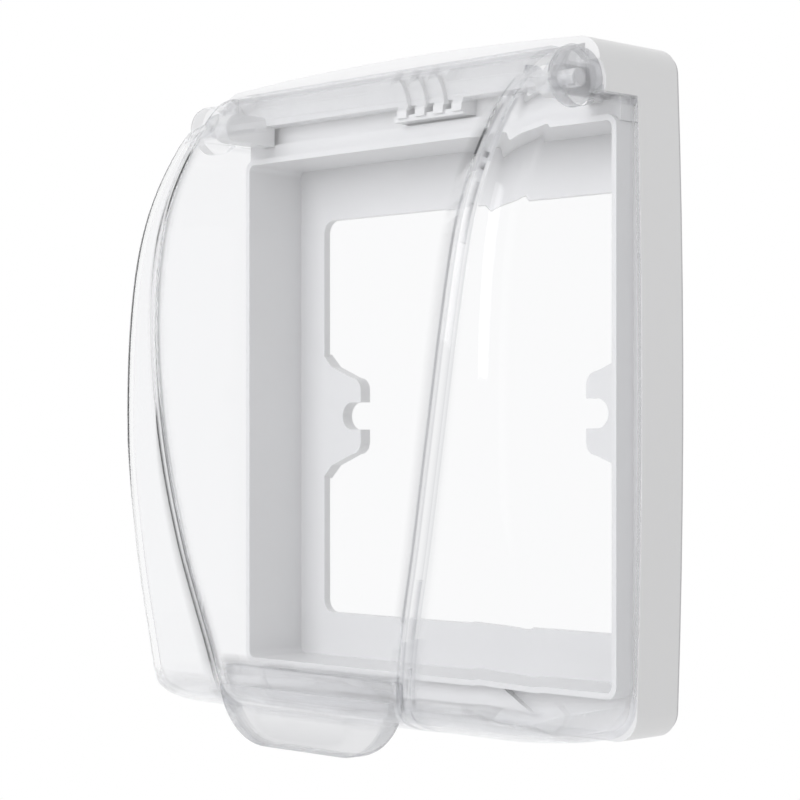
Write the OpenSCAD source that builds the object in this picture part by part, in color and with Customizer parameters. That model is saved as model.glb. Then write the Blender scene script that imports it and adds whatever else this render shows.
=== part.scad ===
// Splash cover for a wall switch: a white frame, a clear lid hinged at its top, a foam wall seal.
// Millimetres. Wall plane at Y = 0, the front faces -Y, Z is up, Z = 0 at the screw slots.

/* [Frame] */
// Distance from the collar's inside to the frame's widest side
side_rim = 3.4; // [3:0.1:10]
// How much narrower each side gets towards the corners
side_bulge = 1.1; // [0.2:0.1:2]
// Distance from the collar's inside to the frame's top
top_rim = 14.7; // [12:0.1:20]
// Distance from the collar's inside to the frame's bottom
bottom_rim = 8.5; // [6:0.1:15]
// Rise of the frame's arched top
top_arch = 1.3; // [0.5:0.1:4]
// Outer corner radius
corner_r = 4.5; // [2:0.5:8]
// Distance from the wall to the ledge that the lid closes on
ledge_d = 11.5; // [8:0.5:20]
// Thickness of the flange around the window
flange_t = 1.5; // [1:0.1:3]
// General wall thickness of the frame
wall_t = 1.6; // [1.2:0.1:3]

/* [Collar] */
// Half the clear width inside the collar
seat_half_w = 44.6; // [43:0.1:50]
// Top of the clear height inside the collar
seat_top_z = 47.8; // [44:0.1:50]
// Bottom of the clear height inside the collar
seat_bottom_z = 46.1; // [44:0.1:55]
// Inner corner radius of the collar
seat_r = 1.2; // [1:0.1:6]
// Wall thickness of the collar
collar_t = 1; // [0.8:0.1:2.5]
// Height of the collar above the ledge
collar_rise = 4.3; // [2:0.1:8]

/* [Window and ears] */
// Width of the flange between the collar and the window's sides
flange_side = 6.7; // [4:0.1:15]
// Width of the flange between the collar and the window's lower edge
flange_low = 8.3; // [4:0.1:15]
// Window corner radius
window_r = 2.5; // [1:0.5:6]
// Distance between the two fixing screws
screw_pitch = 60.3; // [60:0.1:84]
// Width of a screw slot
slot_w = 5.2; // [4:0.1:6]
// Length of the straight part of a slot beyond the screw's centre
slot_run = 2.4; // [1:0.1:5]
// Height of an ear at its tip
ear_tip_h = 14.6; // [11:0.1:20]
// Height of an ear at its root
ear_root_h = 24; // [15:0.5:40]

/* [Hood and hinge] */
// Distance that the hood's roof stands out past the ledge
lip_out = 9.3; // [6:0.1:15]
// Height of the hood's lower front edge above the collar's inside
hood_lift = 7; // [5:0.1:10]
// Distance that the band under the hood stands out past the ledge
band_rise = 3.1; // [1:0.1:4]
// Height of the end cheeks' lower edge above the collar's inside
cheek_lift = 4.1; // [2:0.1:6]
// Distance that the end cheeks' fronts stand behind the hood's lip
cheek_back = 1; // [0.5:0.1:3]
// Distance that the finger pad hangs below the hood's front
pad_drop = 2.9; // [1:0.1:4]
// Depth of the hollows between the pad's ribs
groove_d = 0.9; // [0.3:0.1:1.5]
// Distance from the hood's lip out to the hinge axis
axis_out = 3.7; // [3:0.1:6]
// Height of the hinge axis above the collar's inside
axis_lift = 5.9; // [4:0.1:8]
// Radius of the hinge pins
pin_r = 1.5; // [1:0.1:2.5]
// Radial running clearance of a pin in its ear
pin_gap = 0.08; // [0.02:0.01:0.1]
// Radius of the lugs that carry the pins
lug_r = 2.7; // [2:0.1:4]
// Width of a lug
lug_w = 3.4; // [2:0.1:6]
// Radius of the lid's round ears
ear_r = 4.7; // [3:0.1:7]
// Gap between the lid and the frame beside and around the hinge
hinge_gap = 0.3; // [0.2:0.05:0.8]
// Ribs on the finger pad under the hood
pad_ribs = 4; // [2:1:6]
// Spacing of the pad's ribs
pad_pitch = 4.5; // [3:0.1:6]
// Sideways place of the pad's middle
pad_x = 5; // [-10:0.5:10]

/* [Lid] */
// Wall thickness of the lid
lid_t = 1.3; // [1:0.1:3]
// Gap between the closed lid and the ledge
lid_gap = 0.15; // [0.1:0.05:0.5]
// Distance from the ledge out to the raised front panel's edges
lid_rise = 35.2; // [20:0.1:60]
// Height of the front panel above the surface beside it
panel_rise = 0.8; // [0.2:0.1:2]
// Height of the panel's middle above its edges
panel_crown = 0.4; // [0.1:0.1:2]
// Width of the bevel along the panel's edges
bevel_w = 2.2; // [1:0.1:4]
// Radius of the lid's long front corners
front_r = 4.5; // [3:0.5:10]
// Radius of the lid's bottom corners
foot_r = 6; // [3:0.5:10]
// Half the width of the pull tab
tab_half_w = 21.6; // [12:0.1:30]
// Thickness of the pull tab
tab_t = 4; // [2:0.1:6]
// Distance from the front panel back to the tab's front
tab_back = 3.1; // [1:0.1:6]
// Distance that the tab hangs below the frame
tab_drop = 2.8; // [0:0.1:10]
// Height of the tab's top step above its lower end
tab_h = 13.4; // [8:0.1:20]
// Depth of the thumb recess in the tab
thumb_d = 0.6; // [0.2:0.1:1.5]

/* [Seal] */
// Thickness of the foam seal when it is pressed
seal_t = 1; // [0.5:0.1:3]
// Distance from the frame's edge to the seal's edge
seal_inset = 0.5; // [0.2:0.1:3]

/* [Hidden] */
$fn = 64;
half_w = seat_half_w + side_rim;
top_z = seat_top_z + top_rim;
bottom_z = seat_bottom_z + bottom_rim;
far = 2 * half_w;
window_w = 2 * (seat_half_w - flange_side);
window_h = 2 * (seat_bottom_z - flange_low);
collar_d = ledge_d + collar_rise;
lip_d = ledge_d + lip_out;
band_d = ledge_d + band_rise;
cheek_d = lip_d - cheek_back;
axis_d = lip_d + axis_out;
hood_low_z = seat_top_z + hood_lift;
cheek_low_z = seat_top_z + cheek_lift;
axis_z = seat_top_z + axis_lift;
lid_d = ledge_d + lid_rise;
rib_pitch = half_w * 7 / 12;
mid_z = (top_z - bottom_z) / 2;
half_h = (top_z + bottom_z) / 2;
run_z = half_h - corner_r - top_arch / 2;
run_mid_z = (top_z - top_arch - bottom_z) / 2;
bulge_r = run_z * run_z / (2 * side_bulge) + side_bulge / 2;
corner_x = half_w - side_bulge - corner_r;
arch_r = corner_x * corner_x / (2 * top_arch) + top_arch / 2;
lid_top_z = top_z - 2.6;
seat_mid_z = (seat_top_z - seat_bottom_z) / 2;
seat_h = seat_top_z + seat_bottom_z;
swing_r = sqrt(pow(axis_d - lip_d - hinge_gap, 2) + pow(lid_top_z - axis_z, 2)) + 0.15;
web_x = half_w - 4.6;
lug_x = web_x - lid_t - 0.2;
ear_x0 = web_x - 0.6;
ear_x1 = half_w - side_bulge - 0.15;
lid_low_z = -bottom_z + 0.3;
tab_low_z = -bottom_z - tab_drop;
tab_front = lid_d - tab_back;
tab_r = tab_half_w * 5 / 9;
notch_d = 4.8;
fold_low = lid_low_z + foot_r;
fold_high = axis_z + 1.3;

module slab(d0, d1) {
    translate([0, -d0, 0])
        rotate([90, 0, 0])
            linear_extrude(d1 - d0)
                children();
}

module round_rect(w, h, r) {
    square([w - 2 * r, h], center = true);
    square([w, h - 2 * r], center = true);
    for (sx = [-1, 1])
        for (sy = [-1, 1])
            translate([sx * (w / 2 - r), sy * (h / 2 - r)])
                circle(r = r);
}

// The frame's outline, seen from the front, moved inwards by t.
module outline(t) {
    translate([0, run_mid_z])
        intersection() {
            translate([-(bulge_r - half_w), 0]) circle(r = bulge_r - t, $fn = 720);
            translate([bulge_r - half_w, 0]) circle(r = bulge_r - t, $fn = 720);
            square([2 * half_w + 2, 2 * run_z], center = true);
        }
    intersection() {
        translate([0, top_z - arch_r]) circle(r = arch_r - t, $fn = 720);
        translate([-corner_x, -bottom_z + t])
            square([2 * corner_x, 2 * half_h]);
    }
    for (sx = [-1, 1])
        for (sz = [-1, 1])
            translate([sx * corner_x, run_mid_z + sz * run_z])
                circle(r = corner_r - t);
}

module ear_plan() {
    tip = screw_pitch / 2 - slot_run;
    root = window_w / 2 + 0.5;
    tip_r = min(2.4, ear_tip_h / 2 - slot_w / 2 - 0.2);
    half = ear_tip_h / 2;
    difference() {
        union() {
            polygon([[tip + tip_r, -half], [tip + tip_r, half], [root - 2.6, half + 2.2],
                [root, ear_root_h / 2], [root, -ear_root_h / 2], [root - 2.6, -half - 2.2]]);
            for (s = [-1, 1])
                translate([tip + tip_r, s * (half - tip_r)])
                    circle(r = tip_r, $fn = 32);
            translate([tip, -half + tip_r])
                square([3, ear_tip_h - 2 * tip_r]);
        }
        translate([screw_pitch / 2, 0])
            circle(r = slot_w / 2, $fn = 48);
        translate([tip - 2, -slot_w / 2])
            square([screw_pitch / 2 - tip + 2, slot_w]);
    }
}

module flange_plan() {
    difference() {
        outline(2);
        round_rect(window_w, window_h, window_r);
    }
}

module ear_seat(s) {
    translate([s * (web_x + hinge_gap - 1), -axis_d, axis_z])
        rotate([0, 90 * s, 0])
            cylinder(r = ear_r + hinge_gap, h = 12);
}

// The space swept by the lid's rear edge when it opens.
module swing(r, x) {
    translate([-x, -axis_d, axis_z])
        rotate([0, 90, 0])
            cylinder(r = r, h = 2 * x);
}

module lug(side) {
    translate([side * (lug_x - lug_w / 2), 0, 0]) {
        translate([-lug_w / 2, -axis_d, axis_z])
            rotate([0, 90, 0])
                cylinder(r = lug_r, h = lug_w);
        translate([-lug_w / 2, -axis_d, axis_z - lug_r])
            cube([lug_w, axis_d - collar_d + 1, 2 * lug_r]);
    }
    translate([side * (lug_x - 0.5), -axis_d, axis_z])
        rotate([0, 90 * side, 0])
            cylinder(r = pin_r, h = ear_x1 - 1.4 - lug_x + 0.5, $fn = 48);
}

module hood() {
    difference() {
        intersection() {
            slab(seal_t, lip_d) outline(0);
            translate([-far, -far, seat_top_z])
                cube([2 * far, far, top_rim + 1]);
        }
        // front of the hood, cleared for the opening lid
        swing(swing_r, web_x + hinge_gap);
        // band between the collar and the hood, in two steps
        translate([-far, -far, seat_top_z - 1])
            cube([2 * far, far - band_d, hood_low_z - seat_top_z + 1]);
        translate([-half_w + 4, -far, cheek_low_z - 0.5])
            cube([2 * half_w - 8, far - band_d + 1, hood_low_z - cheek_low_z + 0.5]);
        // outer wall below the end cheeks
        for (s = [-1, 1])
            translate([s * far, -far / 2 - ledge_d, seat_top_z + 0.05])
                cube([2 * (far - seat_half_w - collar_t), far, 2 * (cheek_low_z - seat_top_z)],
                    center = true);
        // hollow at the back
        translate([-half_w + 5.5, -band_d + wall_t + 1, seat_top_z + wall_t])
            cube([2 * half_w - 11, band_d, top_z - top_arch - 1.2 - wall_t - seat_top_z]);
        // round seats of the lid's ears
        for (s = [-1, 1])
            ear_seat(s);
    }
    // end cheeks with the round seats of the lid's ears
    for (s = [-1, 1])
        difference() {
            intersection() {
                slab(seal_t, lip_d) outline(0);
                translate([s * (web_x + hinge_gap + 5), -far / 2, cheek_low_z + top_rim])
                    cube([10, far, 2 * top_rim], center = true);
            }
            ear_seat(s);
            translate([s * (web_x + hinge_gap + 5) - 6, -far, axis_z - 8])
                cube([12, far - cheek_d, 8]);
        }
    for (x = [-rib_pitch, 0, rib_pitch])
        translate([x - 0.6, -band_d + 1.8, seat_top_z + 1])
            cube([1.2, band_d - 1.8 - seal_t, top_z - seat_top_z - 3]);
}

// Ribbed finger pad on the hood's front.
module pad() {
    w = (pad_ribs - 1) * pad_pitch + 2.4;
    translate([pad_x - w / 2, 0, 0]) {
        for (i = [0 : pad_ribs - 1])
            translate([i * pad_pitch, 0, 0])
                difference() {
                    translate([0, -lip_d + 2.4, hood_low_z - pad_drop + 0.6])
                        cube([2.4, 6, pad_drop + 3.4]);
                    translate([-5, 0, 0]) swing(swing_r, 10);
                }
        translate([-1.2, -band_d - 2.2, hood_low_z - pad_drop])
            cube([w + 1.2, 3.4, 1.2]);
    }
}

// Hollows between the pad's ribs, in the hood's curved front.
module pad_grooves() {
    w = (pad_ribs - 1) * pad_pitch + 2.4;
    intersection() {
        swing(swing_r + groove_d, half_w);
        for (i = [0 : pad_ribs - 2])
            translate([pad_x - w / 2 + 2.4 + i * pad_pitch, -lip_d, hood_low_z - 0.4])
                cube([pad_pitch - 2.4, 6, 4.6]);
    }
}

module base_frame() {
    color([0.93, 0.93, 0.94])
        difference() {
            union() {
                slab(seal_t, seal_t + flange_t) flange_plan();
                // the screw ears reach back to the wall, past the pressed seal
                for (m = [0, 1])
                    mirror([m, 0, 0])
                        slab(0, seal_t + flange_t) ear_plan();
                difference() {
                    slab(seal_t, ledge_d) outline(0);
                    translate([0, 0, seat_mid_z])
                        slab(seal_t - 1, ledge_d + 1)
                            round_rect(2 * seat_half_w, seat_h, seat_r);
                    // hollow of the bottom band, open at the back
                    translate([-half_w + 6, -ledge_d + wall_t, -bottom_z + wall_t])
                        cube([2 * half_w - 12, ledge_d, bottom_z - seat_bottom_z - wall_t - collar_t]);
                    translate([-far, -far, seat_top_z + 1])
                        cube([2 * far, far - seal_t - 1, top_rim * 2]);
                }
                for (x = [-rib_pitch, 0, rib_pitch])
                    translate([x - 0.6, -ledge_d + 1, -bottom_z + 1])
                        cube([1.2, ledge_d - 1 - seal_t, bottom_z - seat_bottom_z - 1.5]);
                translate([0, 0, seat_mid_z])
                    difference() {
                        slab(seal_t, collar_d)
                            round_rect(2 * (seat_half_w + collar_t), seat_h + 2 * collar_t,
                                seat_r + collar_t);
                        slab(seal_t - 1, collar_d + 1)
                            round_rect(2 * seat_half_w, seat_h, seat_r);
                    }
                hood();
                lug(1);
                lug(-1);
                // sloped land for the closed tab on the bottom ledge
                translate([0, -ledge_d + 0.5, 0])
                    rotate([90, 0, 0])
                        linear_extrude(2)
                            polygon([[-16.5, -seat_bottom_z - 0.5], [16.5, -seat_bottom_z - 0.5],
                                [26, -seat_bottom_z - 5.2], [-26, -seat_bottom_z - 5.2]]);
                pad();
            }
            pad_grooves();
        }
}

// Height z on the scale of the two tables below, which end at -54.3 and 59.9.
function table_z(z) = z < 0 ? z * 54.3 / -lid_low_z : z * 59.9 / lid_top_z;

// Distance from the wall to the lid's front panel at height z.
function panel_d(z) = ledge_d + lid_rise / 34.7 * (-11.5 + lookup(table_z(z), [
    [-54.3, 20], [-53.6, 28], [-52.8, 33.5], [-51.8, 37.4], [-50.6, 39.8], [-49.2, 41.2],
    [-47.5, 42], [-45, 42.4], [-40, 43.2], [-35, 43.9], [-30, 44.5],
    [-25, 45], [-20, 45.4], [-15, 45.75], [-10, 46], [-5, 46.15], [0, 46.2],
    [5, 46.15], [10, 46], [15, 45.7], [20, 45.25], [25, 44.6], [30, 43.65],
    [35, 42.25], [40, 40.3], [45, 37.7], [50, 34.5], [52.4, 32.5], [54.8, 30.1],
    [56.8, 27.9], [58.4, 25.7], [59.3, 24], [59.9, 22.4], [62, 21.6]]));

// Half the width of the front panel at height z.
function panel_w(z) = half_w / 48 * lookup(table_z(z), [
    [-60, 20.4], [-50, 21.8], [-45, 22.7], [-40, 23.8], [-35, 25.2], [-30, 26.7],
    [-25, 28.2], [-20, 29.5], [-15, 30.7], [-10, 31.8], [-5, 32.8], [0, 33.7],
    [5, 34.5], [10, 35.2], [15, 35.8], [20, 36.3], [25, 36.7], [30, 37],
    [35, 37.4], [40, 37.7], [45, 37.9], [50, 38.1], [54.8, 38.6], [62, 39.5]]);

function side_w(z) = half_w - side_bulge * pow((z - mid_z) / run_z, 2);
function narrow(z) = z < axis_z - 1 ? 0 : min(1, (z - axis_z + 1) / 1.6);
function foot(z, low, r) = z > low + r ? 0 : r - sqrt(max(0, r * r - pow(low + r - z, 2)));
function crown(z, high, r) = z < high - r ? 0 : r - sqrt(max(0, r * r - pow(z - high + r, 2)));
function rear_d(z) = z < cheek_low_z - 0.4 ? ledge_d + lid_gap
    : z < axis_z ? cheek_d + hinge_gap
    : lip_d + hinge_gap;

// Level of the inner surface that belongs to an outer level z.
function inner_z(z) = z < fold_low ? fold_low + (z - fold_low) * (foot_r - lid_t) / foot_r
    : z > fold_high ? fold_high + (z - fold_high) * (1 - lid_t / (lid_top_z - fold_high))
    : z;
function wall_at(z) = lid_t * sqrt(1 + pow(panel_d(z - 0.6) - panel_d(z + 0.6), 2) / 1.44);

// One half of a level section of the lid, from its rear edge to its middle.
// zo is the outer level; t is 0 for the outside and lid_t for the inside.
function half_section(zo, t) =
    let (z = t > 0 ? inner_z(zo) : zo)
    let (inset = foot(zo, lid_low_z, foot_r) * (foot_r - t) / foot_r)
    let (shrink = narrow(zo) * (side_w(zo) - web_x) + crown(zo, lid_top_z, 1.5))
    let (x0 = side_w(zo) - t - shrink - inset)
    let (d = panel_d(t > 0 && z < 0 ? max(z, lid_low_z + t) : z) - (t > 0 ? wall_at(z) : 0))
    let (rise = panel_rise * (1 - 0.6 * narrow(zo)))
    let (yr = rear_d(zo))
    let (yf = max(yr + 0.6, d - rise))
    let (r = min(front_r - t, (yf - yr) * 0.45))
    let (x1 = x0 - 0.02 * max(0, yf - yr - r) * (1 - narrow(zo)))
    let (yp = max(yf + 0.1, d))
    let (pw = min(panel_w(z) - inset * 0.3, x1 - r - bevel_w - 0.1))
    concat(
        [[x0, yr], [(x0 + x1) / 2, (yr + yf - r) / 2]],
        [for (a = [0 : 15 : 90]) [x1 - r + r * cos(a), yf - r + r * sin(a)]],
        [[pw + bevel_w, yf + 0.05], [pw, yp], [pw * 0.5, yp + panel_crown * 0.75],
            [0, yp + panel_crown]]);

function full_section(zo, t) =
    let (h = half_section(zo, t))
    let (n = len(h))
    let (z = t > 0 ? inner_z(zo) : zo)
    concat([for (p = h) [-p[0], -p[1], z]],
        [for (i = [n - 2 : -1 : 0]) [h[i][0], -h[i][1], z]]);

levels = concat(
    [for (a = [0, 20, 30, 40, 50, 60, 70, 80, 90]) lid_low_z + foot_r * (1 - cos(a))],
    [for (k = [1 : 9]) fold_low + (cheek_low_z * 0.2 - fold_low) * k / 10],
    [for (k = [0.2, 0.31, 0.42, 0.52, 0.6, 0.67, 0.75, 0.82, 0.88, 0.925, 0.965]) cheek_low_z * k],
    [cheek_low_z - 0.5, cheek_low_z - 0.3, axis_z - 1, axis_z - 0.1, axis_z + 0.1],
    [for (k = [0.1, 0.24, 0.37, 0.5, 0.63, 0.74, 0.84, 0.92, 1]) axis_z + (lid_top_z - axis_z) * k]);

// The lid's shell: outer surface, inner surface and the rim between them.
module shell() {
    m = len(levels);
    outer = [for (z = levels) full_section(z, 0)];
    inner = [for (z = levels) full_section(z, lid_t)];
    n = len(outer[0]);
    q = m * n;
    pts = concat([for (r = outer) each r], [for (r = inner) each r]);
    skin = [for (i = [0 : m - 2]) for (j = [0 : n - 2])
        each [[(i + 1) * n + j + 1, i * n + j + 1, i * n + j],
            [(i + 1) * n + j, (i + 1) * n + j + 1, i * n + j]]];
    skin_in = [for (f = skin) [f[2] + q, f[1] + q, f[0] + q]];
    // each flat end is cut into strips between a point and its mirror image
    half = [for (j = [0 : (n - 1) / 2 - 1])
        each concat([[j, j + 1, n - 1 - j]], j + 1 < n - 2 - j ? [[j + 1, n - 2 - j, n - 1 - j]] : [])];
    top = (m - 1) * n;
    caps = concat(half, [for (f = half) [f[2] + top, f[1] + top, f[0] + top]],
        [for (f = half) [f[2] + q, f[1] + q, f[0] + q]],
        [for (f = half) [f[0] + top + q, f[1] + top + q, f[2] + top + q]]);
    edge = concat([for (i = [0 : m - 1]) i * n], [for (i = [m - 1 : -1 : 0]) i * n + n - 1]);
    k = len(edge);
    rim = [for (i = [0 : k - 1])
        each [[edge[i], edge[i] + q, edge[(i + 1) % k]],
            [edge[(i + 1) % k], edge[i] + q, edge[(i + 1) % k] + q]]];
    polyhedron(points = pts, faces = concat(skin, skin_in, caps, rim), convexity = 8);
}

module tab_plan() {
    translate([-tab_half_w, tab_low_z + tab_r])
        square([2 * tab_half_w, tab_h - tab_r]);
    translate([-tab_half_w + tab_r, tab_low_z])
        square([2 * (tab_half_w - tab_r), tab_r + 1]);
    intersection() {
        for (s = [-1, 1])
            translate([s * (tab_half_w - tab_r), tab_low_z + tab_r])
                circle(r = tab_r);
        translate([-far, tab_low_z - 1])
            square([2 * far, tab_r + 1.5]);
    }
}

module tab() {
    difference() {
        slab(tab_front - tab_t, tab_front) tab_plan();
        // step under the front panel
        translate([-30, 0, tab_low_z + tab_h])
            rotate([90, 0, 90])
                linear_extrude(60)
                    polygon([[-tab_front - 1, 1], [-tab_front - 0.2, 0], [-tab_front + 1.2, -3.4],
                        [-tab_front - 1, -3.4]]);
        // thumb recess
        translate([0, -tab_front - 12 + thumb_d, tab_low_z + 5]) {
            translate([-8, 0, 0])
                rotate([0, 90, 0])
                    cylinder(r = 12, h = 16);
            for (s = [-1, 1])
                translate([8 * s, 0, 0])
                    sphere(r = 12);
        }
    }
}

module lid() {
    color([0.85, 0.9, 0.95, 0.4])
        difference() {
            union() {
                difference() {
                    shell();
                    // openings around the frame's lugs
                    for (s = [-1, 1])
                        translate([s * (lug_x - lug_w / 2), -axis_d, 0])
                            translate([-lug_w / 2 - hinge_gap, -notch_d, axis_z])
                                cube([lug_w + hinge_gap + 0.2, notch_d + 5, 12]);
                }
                for (s = [-1, 1])
                    translate([s * ear_x0, -axis_d, axis_z])
                        rotate([0, 90 * s, 0])
                            cylinder(r = ear_r, h = ear_x1 - ear_x0);
                tab();
            }
            for (s = [-1, 1])
                translate([s * (ear_x0 - 2), -axis_d, axis_z])
                    rotate([0, 90 * s, 0])
                        cylinder(r = pin_r + pin_gap, h = ear_x1 - 1.2 - ear_x0 + 2, $fn = 48);
        }
}

module wall_seal() {
    color([0.8, 0.8, 0.8])
        difference() {
            slab(0, seal_t) outline(seal_inset);
            slab(-1, seal_t + 1) round_rect(window_w + 4, window_h + 4, window_r);
        }
}

base_frame();
lid();
wall_seal();
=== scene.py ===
"""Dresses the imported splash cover: white frame, clear hinged lid, foam seal and a pale studio."""

import math

import bmesh
import bpy
import numpy as np
from bpy.props import FloatProperty, FloatVectorProperty, PointerProperty
from bpy.types import Operator, Panel, PropertyGroup
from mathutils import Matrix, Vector


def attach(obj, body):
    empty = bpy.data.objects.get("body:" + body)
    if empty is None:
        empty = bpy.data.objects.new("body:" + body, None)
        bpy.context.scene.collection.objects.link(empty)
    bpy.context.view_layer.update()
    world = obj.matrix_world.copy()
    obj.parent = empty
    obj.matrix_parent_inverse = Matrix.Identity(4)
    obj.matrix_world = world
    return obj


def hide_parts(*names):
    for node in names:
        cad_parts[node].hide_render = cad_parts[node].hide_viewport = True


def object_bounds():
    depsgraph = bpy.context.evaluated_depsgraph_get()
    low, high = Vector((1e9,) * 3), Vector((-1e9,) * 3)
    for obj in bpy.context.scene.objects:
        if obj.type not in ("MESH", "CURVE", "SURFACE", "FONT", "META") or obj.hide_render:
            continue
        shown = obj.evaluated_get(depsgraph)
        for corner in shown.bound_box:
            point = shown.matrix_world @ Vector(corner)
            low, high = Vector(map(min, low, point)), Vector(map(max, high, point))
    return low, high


bl_info = {
    "name": "Switch splash cover",
    "version": (1, 0, 0),
    "blender": (4, 5, 0),
    "location": "3D View > Sidebar > Splash Cover",
    "description": "Finishes a wall switch's splash cover with its clear hinged lid",
    "category": "Object",
}

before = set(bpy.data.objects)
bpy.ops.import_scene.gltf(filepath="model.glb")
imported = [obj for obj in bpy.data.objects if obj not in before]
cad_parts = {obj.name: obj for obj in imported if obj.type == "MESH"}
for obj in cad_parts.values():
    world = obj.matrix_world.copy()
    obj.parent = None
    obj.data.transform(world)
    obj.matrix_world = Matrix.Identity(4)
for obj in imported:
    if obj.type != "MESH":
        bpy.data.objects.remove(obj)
CAD_BOX = [list(corner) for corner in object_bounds()]
MM = 0.001
WHITE = (1.0, 1.0, 1.0)
FLOOR_HALF = 8.0
EDGE_ANGLE = math.radians(40)
# Share of the light that goes straight on in thick and tightly bent places.
PASSING_SHARE = 0.65


def length(name, default, description):
    return FloatProperty(
        name=name,
        description=description,
        default=default,
        subtype="DISTANCE",
        unit="LENGTH",
        precision=5,
    )


def share(name, default, description):
    return FloatProperty(
        name=name,
        description=description,
        default=default,
        min=0.0,
        max=1.0,
        subtype="FACTOR",
    )


def power(name, default, description):
    return FloatProperty(name=name, description=description, default=default, unit="POWER")


def colour(name, default, description):
    return FloatVectorProperty(
        name=name,
        description=description,
        default=default,
        min=0.0,
        max=1.0,
        size=3,
        subtype="COLOR",
    )


class FrameSettings(PropertyGroup):
    colour: colour("Plastic", (0.78, 0.78, 0.785), "Colour of the white moulding")
    gloss: share("Roughness", 0.3, "Roughness of the white moulding")
    edge_round: length("Edge rounding", 0.00022, "Radius of the moulding's edges")
    seal_colour: colour("Foam", (0.62, 0.62, 0.63), "Colour of the foam seal")


class LidSettings(PropertyGroup):
    wall: length("Wall", 0.0013, "Thickness of the clear shell")
    depth: length("Depth", 0.0467, "Distance from the wall to the front panel")
    panel_rise: length("Panel rise", 0.0008, "Height of the panel above its flanks")
    panel_crown: length("Panel crown", 0.0004, "Height of the panel's middle above its edges")
    bevel: length("Panel bevel", 0.0022, "Width of the bevel beside the panel")
    front_radius: length("Front radius", 0.0045, "Radius of the long front corners")
    front_grow: length("Front growth", 0.003, "How much larger that radius gets lower down")
    foot_radius: length("Foot radius", 0.006, "Radius of the bottom corners")
    tab_half_width: length("Half tab", 0.0216, "Half the width of the pull tab")
    tab_thickness: length("Tab thickness", 0.004, "Thickness of the pull tab")
    tab_edge: length("Tab edge", 0.0006, "Rounding of the pull tab's edges")
    tint: colour("Tint", (0.955, 0.957, 0.963), "Tint of the clear plastic")
    # Painted shade: grey laid on the crease lines in place of the dark lines that light bending
    # through them shows.
    crease_painted_shade: colour("Crease", (0.72, 0.725, 0.74), "Tint of the moulded crease lines")
    tab_tint: colour("Thick tint", (0.86, 0.862, 0.87), "Tint of the pull tab and the ears")
    # Painted shade: a darker grey for the pull tab's steps and sides, for how light falls on those
    # faces.
    tab_side_painted_shade: colour("Edge tint", (0.70, 0.703, 0.715), "Tint of the pull tab's steps and sides")


class StudioSettings(PropertyGroup):
    key: power("Key", 4.2, "Power of the key lamp")
    fill: power("Fill", 0.4, "Power of the fill lamp")
    top: power("Top", 0.2, "Power of the top lamp")
    surround: share("Surround", 0.70, "Brightness of the pale room around the object")
    floor_drop: length("Floor drop", 0.30, "Distance of the floor below the object")


class Sock:
    """One shader value; arithmetic on it adds the nodes that work it out."""

    def __init__(self, maker, socket):
        self.maker = maker
        self.socket = socket

    def maths(self, operation, *values):
        return self.maker.node("ShaderNodeMath", {"operation": operation}, dict(enumerate(values)))

    def __add__(self, other):
        return self.maths("ADD", self, other)

    __radd__ = __add__

    def __sub__(self, other):
        return self.maths("SUBTRACT", self, other)

    def __rsub__(self, other):
        return self.maths("SUBTRACT", other, self)

    def __mul__(self, other):
        return self.maths("MULTIPLY", self, other)

    __rmul__ = __mul__

    def __truediv__(self, other):
        return self.maths("DIVIDE", self, other)

    def __rtruediv__(self, other):
        return self.maths("DIVIDE", other, self)

    def most(self, other):
        return self.maths("MAXIMUM", self, other)

    def least(self, other):
        return self.maths("MINIMUM", self, other)

    def size(self):
        return self.maths("ABSOLUTE", self)


class Finish:
    """The nodes of one material, or of the surround, while they are being put together."""

    def __init__(self, owner, output="ShaderNodeOutputMaterial"):
        owner.use_nodes = True
        self.owner = owner
        self.tree = owner.node_tree
        self.tree.nodes.clear()
        self.out = self.tree.nodes.new(output)

    def node(self, kind, settings=None, inputs=None, out=0):
        made = self.tree.nodes.new(kind)
        for key, value in (settings or {}).items():
            setattr(made, key, value)
        for key, value in (inputs or {}).items():
            if isinstance(value, Sock):
                self.tree.links.new(value.socket, made.inputs[key])
            else:
                made.inputs[key].default_value = value
        return Sock(self, made.outputs[out])

    def mix(self, factor, first, second):
        return self.node(
            "ShaderNodeMix",
            {"data_type": "RGBA"},
            {0: factor, 6: first, 7: second},
            out=2,
        )

    def place(self):
        return self.node("ShaderNodeTexCoord", out="Object")

    def attribute(self, name):
        return self.node("ShaderNodeAttribute", {"attribute_name": name}, out="Fac")

    def light_path(self, question):
        return self.node("ShaderNodeLightPath", out=question)

    def seen(self):
        """1 for what the camera sees directly, mirrored or through clear plastic, else 0."""
        camera = self.light_path("Is Camera Ray")
        glossy = self.light_path("Is Glossy Ray")
        through = self.light_path("Is Transmission Ray")
        return camera.most(glossy).most(through)

    def noise(self, scale, detail):
        inputs = {"Scale": scale, "Detail": detail, "Vector": self.place()}
        return self.node("ShaderNodeTexNoise", inputs=inputs)

    def bump(self, height, strength, distance):
        return self.node(
            "ShaderNodeBump",
            inputs={"Height": height, "Strength": strength, "Distance": distance},
        )

    def blend(self, factor, first, second):
        return self.node("ShaderNodeMixShader", inputs={0: factor, 1: first, 2: second})

    def see_through(self, tone):
        return self.node("ShaderNodeBsdfTransparent", inputs={"Color": rgba(tone)})

    def finish(self, shader):
        self.tree.links.new(shader.socket, self.out.inputs["Surface"])
        return self.owner


def new_finish(name):
    return Finish(bpy.data.materials.new(name))


def rgba(tone, factor=1.0):
    return (tone[0] * factor, tone[1] * factor, tone[2] * factor, 1.0)


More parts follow.
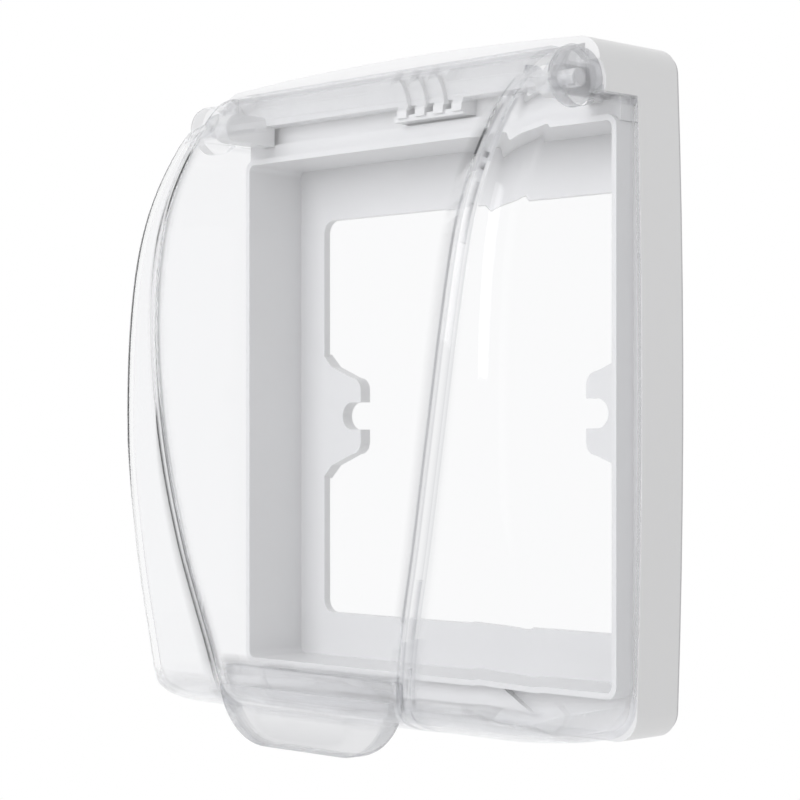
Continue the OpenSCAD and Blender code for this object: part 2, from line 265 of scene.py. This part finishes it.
def white_plastic(settings):
    """Moulded white plastic: a soft gloss, a faint skin texture and slightly duller patches."""
    f = new_finish("white_plastic")
    broad = f.noise(28.0, 3.0)
    skin = f.noise(1900.0, 2.0)
    tone = f.mix(broad, rgba(settings.colour, 0.985), rgba(settings.colour, 1.01))
    shader = f.node(
        "ShaderNodeBsdfPrincipled",
        inputs={
            "Base Color": tone,
            "Roughness": settings.gloss - 0.04 + 0.09 * broad,
            "IOR": 1.5,
            "Normal": f.bump(skin + 3.0 * broad, 0.05, 0.0001),
        },
    )
    return f.finish(shader)


def seal_foam(settings):
    """Closed-cell foam: matt, with fine cells and slightly darker and paler patches."""
    f = new_finish("seal_foam")
    cells = f.node(
        "ShaderNodeTexVoronoi", {"feature": "F1"}, {"Vector": f.place(), "Scale": 1600.0}
    )
    broad = f.noise(90.0, 3.0)
    tone = f.mix(broad, rgba(settings.seal_colour, 0.9), rgba(settings.seal_colour, 1.08))
    shader = f.node(
        "ShaderNodeBsdfPrincipled",
        inputs={
            "Base Color": tone,
            "Roughness": 0.8 + 0.15 * cells,
            "Normal": f.bump(cells, 0.5, 0.0003),
        },
    )
    return f.finish(shader)


def clear_plastic(settings):
    """Clear polished plastic, greyer in the thick tab, with painted shade on creases and tab sides.

    Light bends through the thin shell. Creases, thick and tightly bent places, grazing
    views and shadows mostly let it pass straight, so that the plastic stays bright there.
    """
    f = new_finish("clear_plastic")
    crease = f.attribute("crease")
    thick = f.attribute("thick")
    calm = f.attribute("calm")
    haze = f.noise(35.0, 3.0)
    shader = f.node(
        "ShaderNodeBsdfPrincipled",
        inputs={
            # Painted shade: the crease lines' base colour is greyed to stand in for the dark lines
            # of bent light.
            "Base Color": f.mix(crease, rgba(settings.tint), rgba(settings.crease_painted_shade)),
            "Roughness": 0.015 + 0.02 * haze + 0.10 * crease,
            "IOR": 1.3,
            "Transmission Weight": 1.0,
            "Normal": f.bump(haze, 0.02, 0.0005),
        },
    )
    normal = f.node("ShaderNodeTexCoord", out="Normal")
    side = f.node("ShaderNodeSeparateXYZ", inputs={0: normal}, out="X").size()
    up = f.node("ShaderNodeSeparateXYZ", inputs={0: normal}, out="Z")
    tab_only = (2.0 * thick - 1.0).most(0.0)
    # Painted shade: slope picks the tab's upward and sideways facing faces, which get the darker
    # tab-side grey.
    slope = (3.0 * up).most(1.3 * side).least(1.0) * tab_only
    face = f.see_through(settings.tab_tint)
    edge = f.see_through(settings.tab_side_painted_shade)
    through = f.blend(thick, f.see_through(settings.tint), f.blend(slope, face, edge))
    # Painted shade: light passing straight through the crease lines is greyed as well.
    through = f.blend(crease, through, f.see_through(settings.crease_painted_shade))
    grazing = f.node("ShaderNodeLayerWeight", inputs={"Blend": 0.5}, out="Facing")
    rim = 0.75 * ((grazing - 0.72) * 5.0).most(0.0).least(1.0)
    passing = f.light_path("Is Shadow Ray").most(f.light_path("Is Diffuse Ray"))
    passing = passing.most((1.4 * crease).least(0.92)).most(rim)
    passing = passing.most(PASSING_SHARE * thick).most(PASSING_SHARE * calm)
    return f.finish(f.blend(passing, shader, through))


def dress(obj, material):
    obj.data.materials.clear()
    obj.data.materials.append(material)


# Sizes of the lid's form in millimetres, the same as in the solid. The two tables give the front
# panel's distance from the wall and half its width at each height.
PANEL_DEPTH = (
    (-54.3, 20), (-53.6, 28), (-52.8, 33.5), (-51.8, 37.4), (-50.6, 39.8), (-49.2, 41.2),
    (-47.5, 42), (-45, 42.4), (-40, 43.2), (-35, 43.9), (-30, 44.5), (-25, 45), (-20, 45.4),
    (-15, 45.75), (-10, 46), (-5, 46.15), (0, 46.2), (5, 46.15), (10, 46), (15, 45.7),
    (20, 45.25), (25, 44.6), (30, 43.65), (35, 42.25), (40, 40.3), (45, 37.7), (50, 34.5),
    (52.4, 32.5), (54.8, 30.1), (56.8, 27.9), (58.4, 25.7), (59.3, 24), (59.9, 22.4), (62, 21.6),
)
PANEL_HALF = (
    (-60, 20.4), (-50, 21.8), (-45, 22.7), (-40, 23.8), (-35, 25.2), (-30, 26.7), (-25, 28.2),
    (-20, 29.5), (-15, 30.7), (-10, 31.8), (-5, 32.8), (0, 33.7), (5, 34.5), (10, 35.2),
    (15, 35.8), (20, 36.3), (25, 36.7), (30, 37), (35, 37.4), (40, 37.7), (45, 37.9),
    (50, 38.1), (54.8, 38.6), (62, 39.5),
)
PANEL_PEAK = 46.2
# The sides: half the widest width, its loss towards the corners, the height of the widest place,
# and half the height over which the sides run.
HALF_W, SIDE_BULGE, MID_Z, RUN_Z = 48.0, 1.1, 3.95, 53.4
# The hinge: half the width of the narrow top, and the axis's distance from the wall and height.
WEB_X, AXIS_D, AXIS_Z = 43.4, 24.5, 53.7
NARROW_START, NARROW_RUN = AXIS_Z - 1, 1.6
# The lid's lower and upper ends, the level above which the top folds in, and its edge's radius.
LOW_Z, TOP_Z, FOLD_HIGH, CROWN_R = -54.3, 59.9, 55.0, 1.5
# The rear edge's distance from the wall on the ledge, at the end cheeks and at the hood.
CHEEK_Z, REAR_LEDGE, REAR_CHEEK, REAR_HOOD = 51.5, 11.65, 20.1, 21.1
LEAST_DEPTH, SIDE_DRAFT = 0.6, 0.02
# Where the front corners' radius starts to grow downwards, and over what height it does.
GROW_START, GROW_RUN = -5, 35
LUG_X, LUG_W, HINGE_GAP = 41.9, 3.4, 0.3
NOTCH_D, NOTCH_BACK, NOTCH_UP = 4.8, 5, 12
EAR_R, EAR_X0, EAR_X1, EAR_LOW, EAR_EDGE = 4.7, 42.8, 46.75, 50.6, 0.35
BORE_R, BORE_START, BORE_END, ROUND_STEPS = 1.58, EAR_X0 - 2, EAR_X1 - 1.2, 72
TAB_LOW, TAB_HIGH, TAB_FRONT, TAB_R = -57.4, -44.0, 43.6, 12.0
# The thumb recess: the ball's radius, half its stretch, the recess's depth and its height.
THUMB_R, THUMB_HALF, THUMB_D, THUMB_UP = 12, 8, 0.6, 5
# The crease lines: their width, and the part of the lid that they run over.
CREASE_W, CREASE_FRONT, CREASE_LOW, CREASE_HIGH = 0.30, 23, -52.5, 59.4
SMOOTH_DEGREES = 32
LEAST_FACES = 1000


def smooth_table(rows):
    """A curve through the rows that rises and falls only where they do."""
    xs = np.array([r[0] for r in rows], float)
    ys = np.array([r[1] for r in rows], float)
    gap = np.diff(xs)
    slope = np.diff(ys) / gap
    lean = np.zeros(len(xs))
    for i in range(1, len(xs) - 1):
        if slope[i - 1] * slope[i] > 0:
            a = 2 * gap[i] + gap[i - 1]
            b = gap[i] + 2 * gap[i - 1]
            lean[i] = (a + b) / (a / slope[i - 1] + b / slope[i])
    lean[0], lean[-1] = slope[0], slope[-1]

    def value(z):
        z = min(max(z, xs[0]), xs[-1])
        i = min(int(np.searchsorted(xs, z, side="right")) - 1, len(xs) - 2)
        t = (z - xs[i]) / gap[i]
        return (
            (1 + 2 * t) * (1 - t) ** 2 * ys[i]
            + t * (1 - t) ** 2 * gap[i] * lean[i]
            + t * t * (3 - 2 * t) * ys[i + 1]
            + t * t * (t - 1) * gap[i] * lean[i + 1]
        )

    return value


panel_table = smooth_table(PANEL_DEPTH)
panel_half = smooth_table(PANEL_HALF)


class LidForm:
    """Level sections of the lid, in millimetres."""

    def __init__(self, s):
        self.wall = s.wall / MM
        self.back = s.depth / MM - PANEL_PEAK
        self.rise = s.panel_rise / MM
        self.crown_h = s.panel_crown / MM
        self.bevel = s.bevel / MM
        self.front_r = s.front_radius / MM
        self.front_grow = s.front_grow / MM
        self.foot_r = s.foot_radius / MM
        self.fold_low = LOW_Z + self.foot_r

    def depth(self, z):
        return self.back + panel_table(z)

    def side(self, z):
        return HALF_W - SIDE_BULGE * ((z - MID_Z) / RUN_Z) ** 2

    def narrow(self, z):
        t = min(1.0, max(0.0, (z - NARROW_START) / NARROW_RUN))
        return t * t * (3 - 2 * t)

    def rear(self, z):
        if z < CHEEK_Z:
            return REAR_LEDGE
        return REAR_CHEEK if z < AXIS_Z else REAR_HOOD

    def inner_z(self, z):
        if z < self.fold_low:
            return self.fold_low + (z - self.fold_low) * (self.foot_r - self.wall) / self.foot_r
        if z > FOLD_HIGH:
            return FOLD_HIGH + (z - FOLD_HIGH) * (1 - self.wall / (TOP_Z - FOLD_HIGH))
        return z

    def foot(self, z):
        """How far the bottom corner's curve stands inside the full outline."""
        r = self.foot_r
        if z > LOW_Z + r:
            return 0.0
        return r - math.sqrt(max(0.0, r * r - (LOW_Z + r - z) ** 2))

    def crown(self, z):
        """How far the top edge's curve stands inside the full outline."""
        if z < TOP_Z - CROWN_R:
            return 0.0
        return CROWN_R - math.sqrt(max(0.0, CROWN_R ** 2 - (z - TOP_Z + CROWN_R) ** 2))

    def half(self, zo, t):
        """Half a section at the outer level zo; t is the depth below the outer surface."""
        z = self.inner_z(zo) if t else zo
        inset = self.foot(zo) * (self.foot_r - t) / self.foot_r
        narrow = self.narrow(zo)
        x0 = self.side(zo) - t - narrow * (self.side(zo) - WEB_X) - self.crown(zo) - inset
        d = self.depth(max(z, LOW_Z + t) if t and z < 0 else z)
        if t:
            d -= t * math.sqrt(1 + ((self.depth(z - 0.6) - self.depth(z + 0.6)) / 1.2) ** 2)
        yr = self.rear(zo)
        yf = max(yr + LEAST_DEPTH, d - self.rise * (1 - 0.6 * narrow))
        grow = self.front_grow * min(1.0, max(0.0, (GROW_START - z) / GROW_RUN))
        rad = min(self.front_r - t + grow, (yf - yr) * 0.45)
        x1 = x0 - SIDE_DRAFT * max(0.0, yf - yr - rad) * (1 - narrow)
        yp = max(yf + 0.1, d)
        pw = min(panel_half(z) - inset * 0.3, x1 - rad - self.bevel - 0.1)
        flank = self.flank(x0, x1, yr, yf, rad)
        return flank + self.front(x1 - rad, yf, pw, yp), z

    def flank(self, x0, x1, yr, yf, rad):
        """The side wall, from the rear edge round the long front corner."""
        run = [(x0 + (x1 - x0) * k / 6, yr + (yf - rad - yr) * k / 6) for k in range(6)]
        for degrees in range(0, 91, 9):
            a = math.radians(degrees)
            run.append((x1 - rad + rad * math.cos(a), yf - rad + rad * math.sin(a)))
        return run

    def front(self, edge, yf, pw, yp):
        """The strip beside the panel, the panel's bevel and half of its crowned face."""
        foot_x = pw + self.bevel
        run = [(edge + (foot_x + 0.35 - edge) * k, yf + 0.03 * k) for k in (0.2, 0.5, 0.8)]
        q = min(0.35, max(0.02, (edge - foot_x) * 0.4))
        run += [
            (foot_x + q, yf + 0.03),
            (foot_x + q * 0.3, yf + 0.04),
            (foot_x - q * 0.5, yf + 0.06 + (yp - yf) * 0.08),
            (pw + self.bevel * 0.5, yf + 0.05 + (yp - yf - 0.05) * 0.45),
            (pw + 0.35, yp - (yp - yf) * 0.16),
            (pw + 0.05, yp - 0.02),
            (pw - 0.35, yp + 0.02),
        ]
        for k in (0.93, 0.8, 0.62, 0.42, 0.21, 0.0):
            run.append(((pw - 0.35) * k, yp + 0.02 + (self.crown_h - 0.02) * (1 - k * k)))
        return run

    def whole(self, zo, t):
        """The whole section from the left rear edge to the right one."""
        run, z = self.half(zo, t)
        left = [(-x, -y, z) for x, y in run]
        right = [(x, -y, z) for x, y in run[-2::-1]]
        return left + right

    def levels(self):
        """Heights of the sections, closer together where the form bends."""
        low = [LOW_Z + self.foot_r * (1 - math.cos(math.radians(a))) for a in range(0, 91, 6)]
        middle = list(np.linspace(self.fold_low, 50.0, 46)[1:])
        high = [50.8, 51.45, 51.55, 52.2, 52.8, 53.2, 53.65, 53.75, 54.1, 54.4]
        high += list(np.linspace(54.8, 58.4, 10)) + [58.8, 59.1, 59.35, 59.55, 59.7, 59.8, TOP_Z]
        return low + middle + high


def new_object(name, verts, faces):
    mesh = bpy.data.meshes.new(name)
    mesh.from_pydata([tuple(c * MM for c in v) for v in verts], [], faces)
    mesh.validate()
    obj = bpy.data.objects.new(name, mesh)
    bpy.context.scene.collection.objects.link(obj)
    work = bmesh.new()
    work.from_mesh(mesh)
    bmesh.ops.recalc_face_normals(work, faces=work.faces)
    work.to_mesh(mesh)
    work.free()
    return obj


def lid_shell(form):
    levels = form.levels()
    outer = [form.whole(z, 0.0) for z in levels]
    inner = [form.whole(z, form.wall) for z in levels]
    n, m = len(outer[0]), len(levels)
    q = n * m
    verts = [p for row in outer for p in row] + [p for row in inner for p in row]
    faces = []
    for base in (0, q):
        for i in range(m - 1):
            for j in range(n - 1):
                a = base + i * n + j
                faces.append((a, a + 1, a + n + 1, a + n))
        for start in (base, base + (m - 1) * n):
            for j in range((n - 1) // 2):
                if j + 1 < n - 2 - j:
                    faces.append((start + j, start + j + 1, start + n - 2 - j, start + n - 1 - j))
                else:
                    faces.append((start + j, start + j + 1, start + n - 1 - j))
    ring = [i * n for i in range(m)] + [i * n + n - 1 for i in range(m - 1, -1, -1)]
    for i, a in enumerate(ring):
        b = ring[(i + 1) % len(ring)]
        faces.append((a, b, b + q, a + q))
    return new_object("clear_lid", verts, faces)


def prism(name, outline, d0, d1):
    """A plate with the given outline (x, z) between two distances from the wall."""
    n = len(outline)
    verts = [(x, -d0, z) for x, z in outline] + [(x, -d1, z) for x, z in outline]
    faces = [tuple(range(n)), tuple(range(2 * n - 1, n - 1, -1))]
    faces += [(i, (i + 1) % n, n + (i + 1) % n, n + i) for i in range(n)]
    return new_object(name, verts, faces)


def edge_rounding(obj, width, segments):
    mod = obj.modifiers.new("edge rounding", "BEVEL")
    mod.width = width
    mod.segments = segments
    mod.limit_method = "ANGLE"
    mod.angle_limit = EDGE_ANGLE
    return mod


def rounded(obj, width, segments):
    edge_rounding(obj, width, segments)
    bake_modifiers(obj)
    return obj


def bake_modifiers(obj):
    shown = obj.evaluated_get(bpy.context.evaluated_depsgraph_get())
    made = bpy.data.meshes.new_from_object(shown)
    obj.modifiers.clear()
    obj.data = made


def joined(obj, other, operation):
    """Adds the other solid to obj, or cuts it away, and then removes it."""
    mod = obj.modifiers.new("cut", "BOOLEAN")
    mod.operation = operation
    mod.solver = "MANIFOLD"
    mod.object = other
    bpy.context.view_layer.update()
    bake_modifiers(obj)
    bpy.data.objects.remove(other)


def disc(name, radius, ends):
    """A round bar on the hinge axis between two places along it."""
    steps = ROUND_STEPS
    turns = [2 * math.pi * k / steps for k in range(steps)]
    rim = [(radius * math.cos(a) - AXIS_D, radius * math.sin(a) + AXIS_Z) for a in turns]
    verts = [(x, y, z) for x in sorted(ends) for y, z in rim]
    faces = [tuple(range(steps)), tuple(range(2 * steps - 1, steps - 1, -1))]
    faces += [(k, (k + 1) % steps, steps + (k + 1) % steps, steps + k) for k in range(steps)]
    return new_object(name, verts, faces)


def block(name, low, high):
    """A box between two corners."""
    outline = [(low[0], low[2]), (high[0], low[2]), (high[0], high[2]), (low[0], high[2])]
    return prism(name, outline, -high[1], -low[1])


def tab_outline(half):
    run = [(half, TAB_HIGH)]
    for degrees in range(0, 91, 6):
        a = math.radians(degrees)
        run.append((half - TAB_R + TAB_R * math.cos(a), TAB_LOW + TAB_R - TAB_R * math.sin(a)))
    return run + [(-x, z) for x, z in run[::-1]]


def pull_tab(s):
    """The thick tab: rounded plate, sloping step at its top and a shallow thumb recess."""
    outline = tab_outline(s.tab_half_width / MM)
    tab = prism("tab", outline, TAB_FRONT - s.tab_thickness / MM, TAB_FRONT)
    rounded(tab, s.tab_edge, 4)
    wedge = (
        (-TAB_FRONT - 1, 1.5),
        (-TAB_FRONT + 0.1, 0.4),
        (-TAB_FRONT + 1.2, -3.4),
        (-TAB_FRONT - 1, -3.4),
    )
    verts = [(x, y, TAB_HIGH + z) for x in (-30, 30) for y, z in wedge]
    faces = [(0, 1, 2, 3), (7, 6, 5, 4)]
    faces += [(k, (k + 1) % 4, 4 + (k + 1) % 4, 4 + k) for k in range(4)]
    joined(tab, new_object("step", verts, faces), "DIFFERENCE")
    joined(tab, thumb_form(), "DIFFERENCE")
    return tab


def thumb_form():
    """A ball that is drawn out sideways, for the thumb recess."""
    thumb = bmesh.new()
    bmesh.ops.create_uvsphere(thumb, u_segments=96, v_segments=48, radius=THUMB_R * MM)
    middle = Vector((0, -(TAB_FRONT + THUMB_R - THUMB_D) * MM, (TAB_LOW + THUMB_UP) * MM))
    for v in thumb.verts:
        v.co.x += math.copysign(THUMB_HALF * MM, v.co.x) * min(1.0, abs(v.co.x) / (2.5 * MM))
        v.co += middle
    mesh = bpy.data.meshes.new("thumb")
    thumb.to_mesh(mesh)
    thumb.free()
    recess = bpy.data.objects.new("thumb", mesh)
    bpy.context.scene.collection.objects.link(recess)
    return recess


def mark_creases(obj, form, tab_half, tab_thick):
    """Stores three values at each point of the lid, for its material.

    crease is 1 on the panel's two moulded lines on each side. thick is 1 on the pull tab and
    0.5 on the hinge ears. calm is 1 in the tightly bent foot and beside the hinge.
    """
    mesh = obj.data
    count = len(mesh.vertices)
    lines, thick, calm = (np.zeros(count, dtype=np.float32) for _ in range(3))
    for v in mesh.vertices:
        x, y, z = (c / MM for c in v.co)
        side = abs(x)
        on_tab = side < tab_half + 0.05 and -TAB_FRONT - 0.1 < y < -TAB_FRONT + tab_thick + 0.1
        if z < TAB_HIGH + 0.8 and on_tab:
            thick[v.index] = 1.0
        if z > EAR_LOW and side > EAR_X0 - 4 and y > -AXIS_D - EAR_R - 1:
            thick[v.index] = 0.5
        if z < LOW_Z + form.foot_r or z > EAR_LOW:
            calm[v.index] = 1.0
        if y > -CREASE_FRONT or z < CREASE_LOW or z > CREASE_HIGH:
            continue
        near = side - panel_half(z)
        inner = math.exp(-((near / CREASE_W) ** 2))
        outer = math.exp(-(((near - form.bevel) / CREASE_W) ** 2))
        lines[v.index] = max(inner, outer * 0.8)
    for name, values in (("crease", lines), ("thick", thick), ("calm", calm)):
        mesh.attributes.new(name, "FLOAT", "POINT").data.foreach_set("value", values)


def smooth(obj, degrees):
    obj.data.shade_smooth()
    obj.data.set_sharp_from_angle(angle=math.radians(degrees))


class COVER_OT_frame(Operator):
    """Finishes the white frame with rounded edges and moulded plastic"""

    bl_idname = "cover.frame"
    bl_label = "White frame"

    def execute(self, context):
        settings = context.scene.cover_frame
        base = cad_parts["base_frame"]
        edge_rounding(base, settings.edge_round, 2).harden_normals = True
        dress(base, white_plastic(settings))
        return {"FINISHED"}


class COVER_OT_seal(Operator):
    """Finishes the foam seal behind the frame"""

    bl_idname = "cover.seal"
    bl_label = "Foam seal"

    def execute(self, context):
        dress(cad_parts["wall_seal"], seal_foam(context.scene.cover_frame))
        return {"FINISHED"}


class COVER_OT_lid(Operator):
    """Builds the clear domed lid with its panel, hinge ears and pull tab"""

    bl_idname = "cover.lid"
    bl_label = "Clear lid"

    def execute(self, context):
        settings = context.scene.cover_lid
        form = LidForm(settings)
        lid = lid_shell(form)
        for s in (-1, 1):
            low_x, high_x = sorted((s * (LUG_X - LUG_W - HINGE_GAP), s * (LUG_X + 0.2)))
            low = (low_x, -AXIS_D - NOTCH_D, AXIS_Z)
            high = (high_x, -AXIS_D + NOTCH_BACK, AXIS_Z + NOTCH_UP)
            joined(lid, block("notch", low, high), "DIFFERENCE")
        for s in (-1, 1):
            ear = disc("ear", EAR_R, (s * EAR_X0, s * EAR_X1))
            joined(lid, rounded(ear, EAR_EDGE * MM, 3), "UNION")
        joined(lid, pull_tab(settings), "UNION")
        for s in (-1, 1):
            bore = disc("bore", BORE_R, (s * BORE_START, s * BORE_END))
            joined(lid, bore, "DIFFERENCE")
        if len(lid.data.polygons) < LEAST_FACES:
            raise RuntimeError("the clear lid came out empty")
        mark_creases(lid, form, settings.tab_half_width / MM, settings.tab_thickness / MM)
        smooth(lid, SMOOTH_DEGREES)
        dress(lid, clear_plastic(settings))
        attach(lid, "lid")
        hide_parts("lid")
        return {"FINISHED"}


def lamp(name, place, size, watts):
    """A soft box at the given place that points at the middle of the object."""
    data = bpy.data.lights.new(name, "AREA")
    data.shape = "RECTANGLE"
    data.size, data.size_y = size
    data.energy = watts
    made = bpy.data.objects.new(name, data)
    made.location = place
    made.rotation_euler = (-Vector(place)).to_track_quat("-Z", "Y").to_euler()
    bpy.context.scene.collection.objects.link(made)


def pale_floor():
    """Matt ground with a white glow over it for the camera, complete from 1.4 m outwards."""
    f = new_finish("pale_floor")
    ground = f.node(
        "ShaderNodeBsdfPrincipled",
        inputs={"Base Color": rgba(WHITE, 0.9), "Roughness": 0.9},
    )
    glow = f.node("ShaderNodeEmission", inputs={"Color": rgba(WHITE), "Strength": 1.0})
    far = f.node("ShaderNodeVectorMath", {"operation": "LENGTH"}, {0: f.place()}, out="Value")
    white = (0.8 + 0.2 * (far - 0.5).most(0.0) / 0.9).least(1.0)
    return f.finish(f.blend(white * f.seen(), ground, glow))


def floor_plate():
    work = bmesh.new()
    bmesh.ops.create_grid(work, x_segments=24, y_segments=24, size=FLOOR_HALF)
    mesh = bpy.data.meshes.new("floor")
    work.to_mesh(mesh)
    work.free()
    return bpy.data.objects.new("floor", mesh)


def surround(brightness):
    """A room that lights the object gently and looks white behind it."""
    world = bpy.data.worlds.new("surround")
    w = Finish(world, "ShaderNodeOutputWorld")
    strength = brightness + (1 - brightness) * w.seen()
    return w.finish(
        w.node("ShaderNodeBackground", inputs={"Color": rgba(WHITE), "Strength": strength})
    )


def photo_camera():
    """The camera that was solved from the photo."""
    eye = bpy.data.cameras.new("camera")
    eye.lens = 101.25
    eye.sensor_width = 36.0
    eye.shift_y = 0.05
    eye.clip_start = 0.01
    camera = bpy.data.objects.new("camera", eye)
    camera.location = (0.2822, -0.2991, -0.0046)
    camera.rotation_euler = (math.radians(90), 0, math.radians(45.3))
    return camera


class COVER_OT_studio(Operator):
    """Sets the pale floor, the soft lamps, the white surround and the camera"""

    bl_idname = "cover.studio"
    bl_label = "Studio"

    def execute(self, context):
        settings = context.scene.cover_studio
        scene = context.scene
        scene.view_settings.view_transform = "Standard"
        floor = floor_plate()
        floor.location.z = CAD_BOX[0][2] - settings.floor_drop
        scene.collection.objects.link(floor)
        dress(floor, pale_floor())
        scene.world = surround(settings.surround)
        lamp("key", (-0.14, -0.85, 0.34), (0.6, 0.6), settings.key)
        lamp("fill", (0.8, -0.25, 0.15), (0.5, 0.7), settings.fill)
        lamp("top", (0.05, -0.15, 0.8), (0.6, 0.4), settings.top)
        scene.camera = photo_camera()
        scene.collection.objects.link(scene.camera)
        return {"FINISHED"}


class COVER_PT_panel(Panel):
    """Lists the cover's pieces and their settings"""

    bl_label = "Splash Cover"
    bl_idname = "COVER_PT_panel"
    bl_space_type = "VIEW_3D"
    bl_region_type = "UI"
    bl_category = "Splash Cover"

    def draw(self, context):
        for steps, group in PANEL_ROWS:
            box = self.layout.box()
            for step in steps:
                box.operator(step.bl_idname)
            settings = getattr(context.scene, group)
            for key in settings.__annotations__:
                box.prop(settings, key)


PANEL_ROWS = (
    ((COVER_OT_frame, COVER_OT_seal), "cover_frame"),
    ((COVER_OT_lid,), "cover_lid"),
    ((COVER_OT_studio,), "cover_studio"),
)
CLASSES = (
    FrameSettings,
    LidSettings,
    StudioSettings,
    COVER_OT_frame,
    COVER_OT_seal,
    COVER_OT_lid,
    COVER_OT_studio,
    COVER_PT_panel,
)


def register():
    for item in CLASSES:
        bpy.utils.register_class(item)
    bpy.types.Scene.cover_frame = PointerProperty(type=FrameSettings)
    bpy.types.Scene.cover_lid = PointerProperty(type=LidSettings)
    bpy.types.Scene.cover_studio = PointerProperty(type=StudioSettings)


def unregister():
    for name in ("cover_frame", "cover_lid", "cover_studio"):
        delattr(bpy.types.Scene, name)
    for item in reversed(CLASSES):
        bpy.utils.unregister_class(item)


def main():
    register()
    bpy.ops.cover.studio()
    bpy.ops.cover.frame()
    bpy.ops.cover.seal()
    bpy.ops.cover.lid()


if __name__ == "__main__":
    main()
